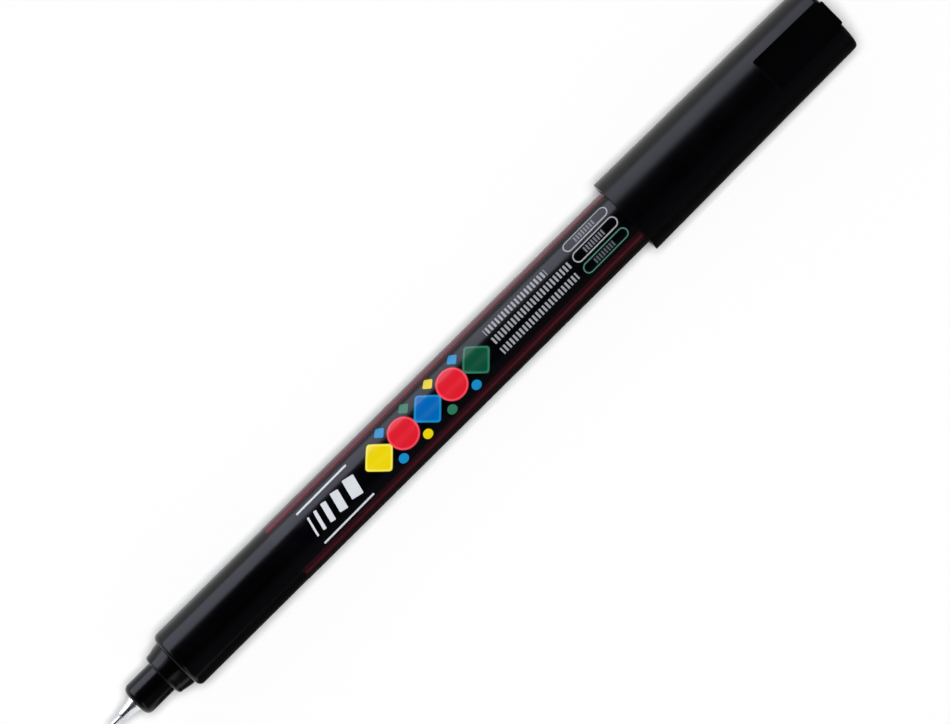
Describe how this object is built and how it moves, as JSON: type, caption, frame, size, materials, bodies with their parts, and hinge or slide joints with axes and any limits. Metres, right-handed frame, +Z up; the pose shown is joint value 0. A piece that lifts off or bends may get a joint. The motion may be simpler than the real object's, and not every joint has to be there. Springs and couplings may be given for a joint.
{
  "type": "paint marker",
  "caption": "Slim valve-action paint marker with a metal-sleeved pin tip, a printed film sleeve and a tapered cap posted on the tail.",
  "frame": {"origin": "on the table, under the middle of the marker's length", "axes": "+X along the marker from the writing tip to the cap's closed end, +Z up through the cap's flat"},
  "size_m": [0.16, 0.0142, 0.0141],
  "materials": {
    "black_polypropylene": "moulded, semi-gloss",
    "satin_black_polypropylene": "moulded, satin",
    "printed_film": "glossy shrink film with printed lines",
    "stainless_steel": "drawn and polished",
    "white_acetal": "moulded, satin",
    "milky_polypropylene": "moulded, natural colour",
    "wick_fibre": "bonded fibre soaked with paint"
  },
  "bodies": {
    "barrel": {"barrel": "black_polypropylene", "print_film": "printed_film", "tail_plug": "black_polypropylene", "nose": "black_polypropylene", "valve_seat": "milky_polypropylene", "valve_cage": "milky_polypropylene"},
    "tip": {"nib": "white_acetal", "tip_sleeve": "stainless_steel", "tip_holder": "milky_polypropylene", "relay_wick": "wick_fibre", "valve_stem": "white_acetal", "valve_spring": "stainless_steel"},
    "ball": {"mixing_ball": "stainless_steel"},
    "cap": {"cap_shell": "satin_black_polypropylene", "inner_cap": "milky_polypropylene"}
  },
  "joints": [
    {"name": "tip_press", "type": "slide", "parent": "barrel", "child": "tip", "axis": [1, 0, 0], "range_m": [0, 0.0012], "stiffness_N_per_m": 500, "springref_m": -0.004, "deforming": ["valve_spring"]},
    {"name": "ball_slide", "type": "slide", "parent": "barrel", "child": "ball", "axis": [1, 0, 0], "range_m": [0, 0.09]},
    {"name": "cap_pull", "type": "slide", "parent": "barrel", "child": "cap", "axis": [1, 0, 0], "range_m": [0, 0.05]}
  ]
}
